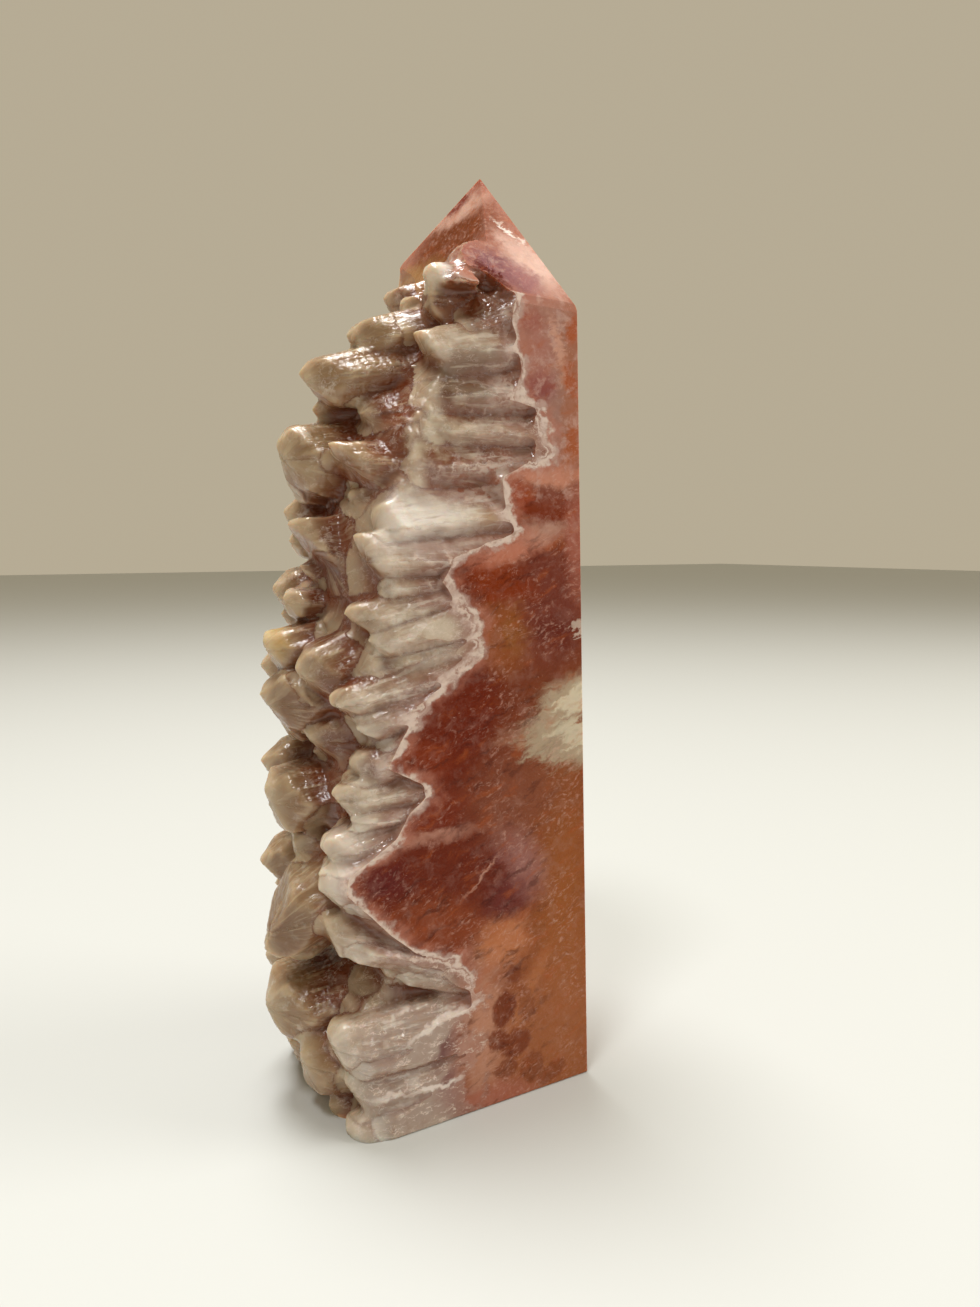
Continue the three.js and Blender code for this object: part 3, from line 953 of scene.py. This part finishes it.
SPOT_ZONES = [
    ((3.6, -20, 17.5), (2.6, 8, 2.6), 15, 0.2, 0.95, (108, 48, 22)),
    ((2.4, -20, 12.6), (2.2, 8, 2.2), 0, 0.2, 0.9, (112, 52, 26)),
    ((5.8, -20, 10.6), (2.8, 8, 3), 0, 0.2, 0.9, (112, 52, 26)),
    ((4, -20, 5.8), (2.4, 8, 2), 15, 0.2, 0.8, (118, 60, 34)),
    ((9.5, -20, 5), (2.6, 8, 2.2), 0, 0.2, 0.75, (120, 62, 34)),
    ((14, -20, 3), (3, 8, 1.8), 15, 0.2, 0.7, (120, 62, 34)),
    ((5.6, -20, 23.5), (1.8, 6, 2), 0, 0.2, 0.9, (116, 56, 26)),
    ((8.4, -20, 17.5), (1.6, 8, 3.4), 15, 0.2, 0.7, (124, 66, 36)),
]
PATCH_ZONES = [
    ((5.8, -20, 66.6), (3.6, 6, 1.6), 0, 0.5, 0.7, (136, 90, 70)),
    ((20, -19, 73.5), (9, 46, 3.4), 15, 0.35, 0.85, (172, 156, 132)),
    ((17, -19, 65), (9.5, 46, 4.6), -15, 0.35, 0.85, (168, 152, 128)),
    ((21.8, -19, 72.8), (6, 42, 2.6), 15, 0.25, 0.85, (202, 190, 166)),
    ((20.5, -19, 65.6), (6.5, 8, 3), -15, 0.3, 0.85, (196, 184, 160)),
    ((20.8, -20, 85), (2.3, 5, 1.9), 0, 0.2, 0.9, (178, 158, 144)),
]
DRUSE_ZONES = [
    # the foot
    ((-14, -19, 12), (12, 5, 15), 0, 0.4, 0.7, (150, 128, 120)),
    ((-7.5, -20, 13.5), (4.2, 4, 2), 45, 0.4, 0.85, (104, 60, 58)),
    ((-5, -20, 5), (5, 4, 5), 15, 0.5, 0.7, (146, 108, 100)),
    ((-6, -20, 9.4), (3.6, 4, 1.2), 45, 0.5, 0.75, (106, 62, 60)),
    ((-3.5, -20, 14), (3.4, 5, 13), 0, 0.7, 0.8, (172, 126, 108)),
    ((-8.5, -20, 18.6), (7, 4, 0.7), 15, 0.4, 0.8, (226, 214, 206)),
    ((-12, -20, 7), (10, 4, 0.5), 0, 0.5, 0.8, (226, 214, 206)),
    ((-17, -20, 10), (5, 4, 0.4), 0, 0.5, 0.7, (222, 210, 200)),
    ((-16.5, -20, 21.5), (4, 4, 0.5), 15, 0.5, 0.7, (222, 212, 204)),
    ((-32, -4, 33), (9, 12, 7), 15, 0.6, 0.7, (118, 84, 58)),
    ((-26.5, -9, 36.5), (1.6, 3, 3.2), 15, 0.5, 0.9, (122, 46, 26)),
    # the left side
    ((-25, -16, 48), (7, 6, 7), -15, 0.6, 0.6, (222, 210, 200)),
    ((-30, 0, 70), (9, 15, 9), 0, 0.6, 0.6, (116, 80, 54)),
    ((-31, 3, 83), (3, 6, 3), 0, 0.5, 0.8, (196, 160, 84)),
    ((-21, -4, 92), (8, 6, 9), -15, 0.5, 0.7, (92, 44, 24)),
    ((-13, -17, 104), (10, 6, 5), 0, 0.6, 0.75, (230, 222, 214)),
    # the brow and the knob over it
    ((3, -18, 104), (4, 5, 2.6), 0, 0.5, 0.6, (176, 146, 116)),
    ((7, -18, 118), (7, 5, 3), 0, 0.6, 0.6, (142, 96, 80)),
    # painted shade: a dark brown patch under the top of the brow's front crystal
    ((-1.5, -18, 127.5), (7, 6, 4.4), 0, 0.6, 0.85, (104, 78, 60)),
    ((-2.5, -12, 140.4), (8, 8, 4.2), 0, 0.4, 0.9, (104, 56, 28)),
    ((-6.6, -11, 145.4), (3.4, 5, 2.8), 0, 0.4, 0.85, (236, 232, 226)),
    ((2, -8.5, 149.6), (5.4, 7, 1.5), 45, 0.5, 0.85, (230, 214, 204)),
    # specks of dirt caught on two crystals
    ((-8.4, -13, 133.4), (0.45, 3, 0.4), 0, 0.2, 0.9, (70, 56, 40)),
    ((-17.6, -2, 135.6), (0.7, 1.2, 0.7), 0, 0.2, 0.9, (70, 56, 40)),
]


BED_SHADE = 3.0  # how far under the bed's surface the warm colour of the core begins
X_REACH = (-30, 20)  # the curves along the druse edge and the bed run between these x


def along_edge():
    """The druse edge as (z, x) points, and how steep it runs between them as (z, share) points."""
    line = [(z, x) for x, z in DRUSE_EDGE]
    shares = []
    for (z, x), (next_z, next_x) in zip(line, line[1:]):
        steep = (next_z - z) / math.hypot(next_z - z, next_x - x)
        shares.append(((z + next_z) / 2, steep))
    return line, shares


def place_in_stone(tree):
    """The place in the stone, in the drawing's millimetres."""
    coordinates = add_node(tree, "TexCoord", {})
    to_mm = {"Vector": coordinates.outputs["Object"], "Location": FRAME_SHIFT, "Scale": (MM, MM, MM)}
    return add_node(tree, "Mapping", to_mm, vector_type="TEXTURE").outputs["Vector"]


def core_colour(tree, spot, rough, clouds, x, y, z):
    """The core, from red by the druse to honey and pink on the right, with all that lies in it."""
    core = tinted(tree, DEEP_RED, BROWN_RED, x, -9, 9)
    sway = swing(tree, cloud(tree, spot, 0.06, 2.0))
    level = maths(tree, "MULTIPLY_ADD", sway, fade(tree, y, -17, 6, 0.0, 60.0), z)
    core = tinted(tree, core, PINK_BROWN, level, 106, 116)
    core = with_zones(tree, core, streaked(tree, rough, 20, 1.2), CORE_ZONES)
    core = with_zones(tree, core, rough, SPOT_ZONES)
    core = with_zones(tree, core, streaked(tree, rough, 15, 3.5), PATCH_ZONES)

    # darker and brighter streaks
    bent = warped(tree, spot, 0.3, 2.5)
    streak = cloud(tree, stretched(tree, bent, (0.16, 0.3, 0.55), 25), 1.0, 6.0, 0.62)
    below = times(tree, fade(tree, z, 122, 108, 0.25, 1.0), fade(tree, x, 15, 8, 0.3, 1.0))
    dark = times(tree, fade(tree, streak, 0.47, 0.32, 0.0, 0.55), below)
    core = blend(tree, dark, core, DARK_STREAK)
    core = tinted(tree, core, BRIGHT_STREAK, streak, 0.53, 0.7, 0.4)

    # thin pale veils, glints, and pale clouds towards the point
    grain = cloud(tree, stretched(tree, bent, (0.8, 1.2, 1.8), 25), 1.0, 5.0, 0.7)
    gather = fade(tree, cloud(tree, bent, 0.13, 4.0, 0.6), 0.42, 0.6, 0.02, 0.45)
    core = blend(tree, times(tree, fade(tree, grain, 0.5, 0.68), gather), core, PALE_VEIL)
    core = blend(tree, flecks(tree, spot), core, PALE_GLINT)
    mottle = times(tree, fade(tree, clouds, 0.48, 0.7), fade(tree, z, 100, 112, 0.12, 0.6),
                   fade(tree, y, -6, -12, 0.2, 1.0))
    return blend(tree, mottle, core, PALE_CLOUD)


def out_of_core(tree, spot):
    """How far past the druse into the core a spot is, and two masks: inside, and near the front.

    It is measured from the druse edge in front, from the bed inside, and from the left facet above.
    """
    x, y, z = split(tree, spot)
    inside = fade(tree, y, -18.6, -12)
    line, shares = along_edge()
    z_span = (DRUSE_EDGE[0][1], DRUSE_EDGE[-1][1])
    front_x = curve(tree, z, line, z_span, X_REACH)
    share = curve(tree, z, shares, (shares[0][0], shares[-1][0]), (0, 1))
    crown = maths(tree, "POWER", maths(tree, "DIVIDE", y, BASE_DEPTH / 2), 2)
    bed_x = curve(tree, z, [(z, x + BED_SHADE) for x, z in BED_OUTLINE], z_span, X_REACH)
    bed_x = maths(tree, "MULTIPLY_ADD", crown, BED_CROWN, bed_x)
    past_front = times(tree, maths(tree, "SUBTRACT", x, front_x), share)
    past_bed = maths(tree, "SUBTRACT", x, bed_x)
    past_edge = mixed(tree, inside, past_front, past_bed)
    lobe = fade(tree, y, -6, -10, 1.4, 5.2)
    past_facet = maths(tree, "ADD", within_facet(tree, spot), lobe)
    past_edge = mixed(tree, fade(tree, z, 142, 143.5), past_edge, past_facet)
    near_face = times(tree, maths(tree, "SUBTRACT", 1.0, inside), fade(tree, z, 19, 28, 0.08, 1.0))
    return past_edge, inside, near_face


def crystal_colour(tree, rough, clouds, crinkle, past_edge, inside, x, z):
    """The druse: crystal that is cloudy and paler in front and at its tips, with painted shade, warm
    red-brown, in its depths, a darker back that is partly painted shade, and white lines that are partly
    painted glints.
    """
    # painted shade: dark and warm by the bed, clearing further out
    outer = fade(tree, maths(tree, "MULTIPLY_ADD", inside, 3.0, past_edge), -1.0, -6.5)
    # the back crystals' darker tone is partly painted shade
    crystal = blend(tree, inside, FRONT_CRYSTAL, BACK_CRYSTAL_AND_SHADE)
    crystal = blend(tree, outer, PAINTED_DEPTH_SHADE, crystal)
    crystal = tinted(tree, crystal, BROWN_CLOUD, clouds, 0.5, 0.3, 0.35)
    crystal = tinted(tree, crystal, PALE_CRYSTAL_AND_HIGHLIGHT, clouds, 0.52, 0.72, 0.4)
    crystal = with_zones(tree, crystal, rough, DRUSE_ZONES)
    # white crack lines in the crystals; at the foot, where they are strongest, they are painted glints as
    # well
    veins_and_glints = fade(tree, maths(tree, "ABSOLUTE", swing(tree, crinkle)), 0.02, 0.005)
    veins_and_glints = times(tree, veins_and_glints, fade(tree, z, 34, 24, 0.4, 0.85), fade(tree, clouds, 0.42, 0.56, 0.1, 1.0),
                 fade(tree, x, -30, -22))
    return blend(tree, veins_and_glints, crystal, WHITE_SEAM_AND_GLINT)


def joined_by_seam(tree, core, crystal, spot, z, past_edge, near_face, crinkle):
    """Core and crystal with the seam between: a white line, a lilac band and thin growth lines."""
    def band_of(value, in_from, in_to, out_from, out_to):
        return times(tree, fade(tree, value, in_from, in_to), fade(tree, value, out_from, out_to))

    scallop = cells(tree, stretched(tree, warped(tree, spot, 0.5, 2.0), (0.14, 0.42, 0.42), 12))[0]
    fray = cloud(tree, spot, 1.3, 4.0, 0.65)
    wander = swing(tree, cloud(tree, spot, 0.22, 4.0, 0.6))
    past_edge = maths(tree, "MULTIPLY_ADD", swing(tree, scallop), 1.8, past_edge)
    past_edge = maths(tree, "MULTIPLY_ADD", swing(tree, fray), 1.1, past_edge)
    past_edge = maths(tree, "MULTIPLY_ADD", wander, fade(tree, z, 28, 20, 0.0, 28.0), past_edge)

    band_at = maths(tree, "MULTIPLY_ADD", wander, 7.0, past_edge)
    band = times(tree, band_of(band_at, 0.8, -0.8, -4.4, -1.4), near_face)
    width = fade(tree, wander, -0.16, 0.2, 0.3, 2.8)
    across = maths(tree, "DIVIDE", maths(tree, "ADD", past_edge, 0.1), width)
    seam = times(tree, band_of(across, 0.4, -0.1, -1.6, -0.3), fade(tree, width, 0.1, 0.9, 0.25, 0.8),
                 fade(tree, crinkle, 0.36, 0.52, 0.4, 1.0), near_face)
    line_at = maths(tree, "MULTIPLY_ADD", wander, 5.0, past_edge)
    dark = band_of(line_at, -1.1, -1.3, -1.7, -1.4)
    pale = band_of(line_at, -1.6, -1.8, -2.6, -2.0)
    lines = times(tree, near_face, fade(tree, wander, 0.04, -0.06))

    border = times(tree, fade(tree, past_edge, 3.0, 0.2), fade(tree, wander, -0.1, 0.1, 0.2, 0.8), near_face)
    core = blend(tree, border, core, PALE_BORDER)
    soft = fade(tree, z, 20, 28, 3.2, 0.3)
    in_crystal = fade(tree, maths(tree, "DIVIDE", past_edge, soft), 1.0, -1.0)
    colour = blend(tree, in_crystal, core, crystal)
    colour = blend(tree, times(tree, band, 0.8), colour, PALE_LILAC)
    colour = blend(tree, times(tree, pale, times(tree, lines, 0.7)), colour, WHITE_SEAM_AND_GLINT)
    colour = blend(tree, times(tree, dark, times(tree, lines, 0.6)), colour, GROWTH_LINE)
    return blend(tree, seam, colour, WHITE_SEAM_AND_GLINT)


def stone_colour():
    """The colour all through the stone, and a mask of how far back from the sawn front it is."""
    group, out = new_group("stone_colour", [("Colour", "Color"), ("Back", "Float")])
    spot = place_in_stone(group)
    rough = warped(group, warped(group, spot, 0.12, 3.0), 0.55, 3.0, 6.0)
    x, y, z = split(group, rough)
    clouds = cloud(group, warped(group, spot, 0.3, 2.0), 0.4, 5.0, 0.65)
    core = core_colour(group, spot, rough, clouds, x, y, z)
    past_edge, inside, near_face = out_of_core(group, warped(group, spot, 0.4, 2.6, 5.0))
    crinkle = stretched(group, warped(group, spot, 0.5, 1.5), (0.22, 0.5, 0.6), 8)
    crinkle = cloud(group, crinkle, 1.0, 5.0, 0.6)
    crystal = crystal_colour(group, rough, clouds, crinkle, past_edge, inside, x, z)
    colour = joined_by_seam(group, core, crystal, spot, z, past_edge, near_face, crinkle)
    plug(group, out.inputs["Colour"], colour)
    plug(group, out.inputs["Back"], inside)
    return group


def new_material(name):
    """A material with its Principled BSDF, and the stone's colour placed in it."""
    made = bpy.data.materials.new(name)
    made.use_nodes = True
    tree = made.node_tree
    colour = tree.nodes.new("ShaderNodeGroup")
    colour.node_tree = STONE_COLOUR
    return made, tree, tree.nodes["Principled BSDF"], colour


def translucent(shader, weight, scale):
    """Lets light into the stone, red furthest."""
    shader.inputs["IOR"].default_value = 1.55
    shader.inputs["Subsurface Weight"].default_value = weight
    shader.inputs["Subsurface Radius"].default_value = (1.0, 0.5, 0.3)
    shader.inputs["Subsurface Scale"].default_value = scale


def bump(tree, height, strength):
    relief = {"Height": height, "Strength": strength, "Distance": BUMP_HEIGHT}
    return add_node(tree, "Bump", relief).outputs["Normal"]


def attribute(tree, name, output):
    return add_node(tree, "Attribute", {}, attribute_name=name).outputs[output]


BUMP_HEIGHT = 0.0004
RIPPLE_TURN = 2 * math.pi / 1.3  # the ripples across a crystal lie 1.3 mm apart


def grown_crystal():
    """The druse: natural faces, rippled across each crystal, cloudy white in front, with painted shade, warm
    red-brown, in the gaps and on the undersides, and a painted highlight on raised parts.
    """
    made, tree, shader, stone = new_material("grown_crystal")
    translucent(shader, 0.6, 0.0035)
    growth = attribute(tree, "growth", "Vector")
    crease = attribute(tree, "crease", "Fac")
    relief = attribute(tree, "relief", "Fac")
    recess = attribute(tree, "recess", "Fac")
    along, around, number = split(tree, growth)
    ribs = cloud(tree, stretched(tree, growth, (0.16, 0.9, 1.0)), 1.0, 3.0, 0.5)
    ribs = mixed(tree, fade(tree, along, 1.0, 6.0), 0.5, ribs)
    patches = cloud(tree, stretched(tree, growth, (0.16, 0.16, 1.0)), 1.0, 3.0, 0.6)
    facing = add_node(tree, "NewGeometry", {})
    up = split(tree, facing.outputs["Normal"])[2]
    colour = stone.outputs["Colour"]
    # pale colour of the crystals: for pale streaks and patches, paler tips, and a painted highlight on
    # raised parts
    tip = blend(tree, stone.outputs["Back"], PALE_CRYSTAL_AND_HIGHLIGHT, WARM_PALE_AND_HIGHLIGHT)
    for over, value, start, end, strength in (
            (BROWN_RIB, ribs, 0.47, 0.32, 0.35),
            (tip, ribs, 0.53, 0.66, 0.4),
            (tip, patches, 0.5, 0.72, 0.4),
            # painted shade on the undersides
            (PAINTED_UNDERSIDE_SHADE, up, 0.0, -0.9, 0.5),
            # painted shade in the hollows, in small dents and in the creases where crystals meet
            (PAINTED_DEPTH_SHADE, recess, 0.3, -1.3, 0.85),
            (PAINTED_DEPTH_SHADE, relief, 0.0, -0.7, 0.5),
            # painted highlight on what stands out of the skin; then paler towards each crystal's tip
            (tip, relief, 0.15, 0.9, 0.7),
            (tip, along, 2.5, 0.0, 0.5),
            (PAINTED_DEPTH_SHADE, crease, 0.4, 0.0, 0.3)):
        colour = tinted(tree, colour, over, value, start, end, strength)
    plug(tree, shader.inputs["Base Color"], colour)
    plug(tree, shader.inputs["Roughness"], fade(tree, patches, 0.35, 0.6, 0.06, 0.28))
    phase = maths(tree, "MULTIPLY_ADD", patches, 14.0, times(tree, along, RIPPLE_TURN))
    wave = maths(tree, "SINE", maths(tree, "MULTIPLY_ADD", ribs, 9.0, phase))
    rippled = fade(tree, maths(tree, "FRACT", times(tree, number, 0.0523)), 0.35, 0.55)
    rippled = times(tree, rippled, fade(tree, ribs, 0.42, 0.6))
    dimples = cloud(tree, stretched(tree, growth, (0.7, 1.1, 1.0)), 1.0, 3.0, 0.6)
    height = maths(tree, "MULTIPLY_ADD", times(tree, wave, rippled), 0.2, ribs)
    height = maths(tree, "MULTIPLY_ADD", dimples, 0.5, height)
    plug(tree, shader.inputs["Normal"], bump(tree, height, 0.55))
    return made


def polished_calcite():
    """The sawn faces: a soft polish with faint scratches and pits."""
    made, tree, shader, stone = new_material("polished_calcite")
    translucent(shader, 0.3, 0.0015)
    shader.inputs["Specular IOR Level"].default_value = 0.1
    plug(tree, shader.inputs["Base Color"], stone.outputs["Colour"])
    coordinates = add_node(tree, "TexCoord", {})
    wear = cloud(tree, coordinates.outputs["Object"], 900.0, 4.0, 0.6)
    plug(tree, shader.inputs["Roughness"], fade(tree, wear, 0.35, 0.7, 0.2, 0.42))
    plug(tree, shader.inputs["Normal"], bump(tree, wear, 0.06))
    return made


STONE_COLOUR = stone_colour()


# ---- floor, light and camera

FLOOR_SIZE = 6.0


def studio_floor():
    bm = bmesh.new()
    bmesh.ops.create_grid(bm, x_segments=1, y_segments=1, size=FLOOR_SIZE / 2)
    floor = as_object("floor", bm)
    pale = bpy.data.materials.new("pale_floor")
    pale.use_nodes = True
    shader = pale.node_tree.nodes["Principled BSDF"]
    shader.inputs["Base Color"].default_value = (0.56, 0.57, 0.55, 1)
    shader.inputs["Roughness"].default_value = 0.65
    floor.data.materials.append(pale)


def room_light():
    world = bpy.data.worlds.new("room")
    bpy.context.scene.world = world
    world.use_nodes = True
    background = world.node_tree.nodes["Background"]
    background.inputs["Color"].default_value = (0.47, 0.41, 0.3, 1)
    background.inputs["Strength"].default_value = 1.0


def soft_lamp(name, at, size, power, colour):
    lamp = bpy.data.lights.new(name, "AREA")
    lamp.shape = "DISK"
    lamp.size = size
    lamp.energy = power
    lamp.color = colour
    holder = bpy.data.objects.new(name, lamp)
    holder.location = at
    holder.rotation_euler = (Vector((0, 0, 0.08)) - Vector(at)).to_track_quat("-Z", "Y").to_euler()
    bpy.context.scene.collection.objects.link(holder)


EYE_HEIGHT = 100.6
EYE_FROM_CORNER = (-0.56106, -1.33937)  # over the eye's height, from the base's front left corner
HEADING = 30.3
PITCH = 6.86
FOCAL_PIXELS = 931
PICTURE_HEIGHT = 1307
SENSOR = 36.0


def camera():
    left, near = EYE_FROM_CORNER
    at = Vector((left * EYE_HEIGHT - BASE_WIDTH / 2, near * EYE_HEIGHT - BASE_DEPTH / 2, EYE_HEIGHT))
    lens = bpy.data.cameras.new("camera")
    lens.sensor_fit = "VERTICAL"
    lens.sensor_height = SENSOR
    lens.lens = SENSOR * FOCAL_PIXELS / PICTURE_HEIGHT
    lens.clip_start = 0.005
    eye = bpy.data.objects.new("camera", lens)
    eye.location = at * MM + FRAME_SHIFT
    eye.rotation_euler = (math.pi / 2 - math.radians(PITCH), 0, -math.radians(HEADING))
    bpy.context.scene.collection.objects.link(eye)
    bpy.context.scene.camera = eye


tower = calcite_stone()
tower.data.materials.append(grown_crystal())
tower.data.materials.append(polished_calcite())
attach(tower, "root")
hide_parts("calcite_tower")

studio_floor()
room_light()
soft_lamp("ceiling", (-0.05, 0.2, 1.0), 0.35, 8, (0.98, 0.99, 1.0))
soft_lamp("skylight", (-0.35, -0.25, 0.95), 0.2, 3.5, (0.98, 0.99, 1.0))
soft_lamp("window", (0.9, -0.5, 0.5), 0.6, 7, (1.0, 0.99, 0.96))
camera()
bpy.context.scene.view_settings.view_transform = "Standard"
